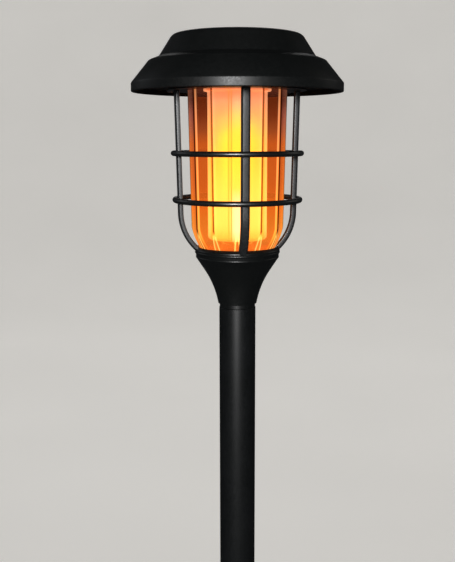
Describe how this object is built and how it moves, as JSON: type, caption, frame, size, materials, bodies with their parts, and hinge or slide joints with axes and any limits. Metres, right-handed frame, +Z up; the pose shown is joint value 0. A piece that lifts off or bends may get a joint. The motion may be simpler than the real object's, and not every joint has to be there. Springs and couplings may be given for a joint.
{
  "type": "solar flame torch",
  "caption": "Black solar garden torch: round two-tier roof on a caged amber lens with a flickering flame tube, on a flared collar, slim round pole and ground stake.",
  "frame": {"origin": "on the pole's axis at the soil line, where the lower pole section stands on the stake's shoulder", "axes": "+Z up along the pole, towards the roof; -Y is the front, and the four cage ribs lie on +X, +Y, -X and -Y"},
  "size_m": [0.1418, 0.1418, 0.9376],
  "materials": {
    "black_abs": "satin moulded, fine spark texture",
    "pole_coat": "satin, fine speckle",
    "amber_lens": "clear amber, moulded",
    "flame_diffuser": "milky, frosted inside",
    "seal_rubber": "matt",
    "screw_steel": "zinc plated",
    "foam_tape": "foam",
    "panel_laminate": "laminate",
    "silicon_cell": "polycrystalline silicon with silver lines",
    "clear_resin": "clear cast resin",
    "green_laminate": "solder mask",
    "chip_black": "moulded",
    "battery_sleeve": "shrink sleeve",
    "contact_steel": "nickel plated",
    "button_plastic": "satin",
    "white_core": "satin",
    "flex_board": "white solder mask",
    "led_lens": "phosphor"
  },
  "bodies": {
    "stake": {"ground_stake": "black_abs"},
    "lower_pole": {"lower_pole": "pole_coat", "pole_coupler": "black_abs"},
    "upper_pole": {"upper_pole": "pole_coat"},
    "lantern": {"collar": "black_abs", "cage_rib_right": "black_abs", "cage_rib_back": "black_abs", "cage_rib_left": "black_abs", "cage_rib_front": "black_abs", "upper_cage_ring": "black_abs", "lower_cage_ring": "black_abs", "cage_top_ring": "black_abs", "lens": "amber_lens", "lens_gasket": "seal_rubber"},
    "roof": {"roof_cap": "black_abs", "cap_base": "black_abs", "cap_base_screws": "screw_steel", "cap_gasket": "seal_rubber", "panel_tape": "foam_tape", "solar_panel_board": "panel_laminate", "solar_cells": "silicon_cell", "solar_panel_cover": "clear_resin", "electronics_tray": "black_abs", "tray_screws": "screw_steel", "circuit_board": "green_laminate", "circuit_parts": "chip_black", "battery_holder": "black_abs", "battery_cell": "battery_sleeve", "battery_contacts": "contact_steel", "switch_body": "chip_black", "flame_tube": "flame_diffuser", "led_core": "white_core", "flame_led_board": "flex_board", "flame_leds": "led_lens"},
    "power_button": {"power_button": "button_plastic"}
  },
  "joints": [
    {"name": "lower_pole_lift", "type": "slide", "parent": "stake", "child": "lower_pole", "axis": [0, 0, 1], "range_m": [0, 0.045]},
    {"name": "upper_pole_lift", "type": "slide", "parent": "lower_pole", "child": "upper_pole", "axis": [0, 0, 1], "range_m": [0, 0.045]},
    {"name": "lantern_lift", "type": "slide", "parent": "upper_pole", "child": "lantern", "axis": [0, 0, 1], "range_m": [0, 0.045]},
    {"name": "roof_twist", "type": "hinge", "parent": "lantern", "child": "roof", "pos_m": [0, 0, 0.7564], "axis": [0, 0, 1], "range_deg": [0, 30]},
    {"name": "button_press", "type": "slide", "parent": "roof", "child": "power_button", "axis": [0, 0, 1], "range_m": [0, 0.0012], "stiffness_N_per_m": 500, "springref_m": -0.001}
  ]
}
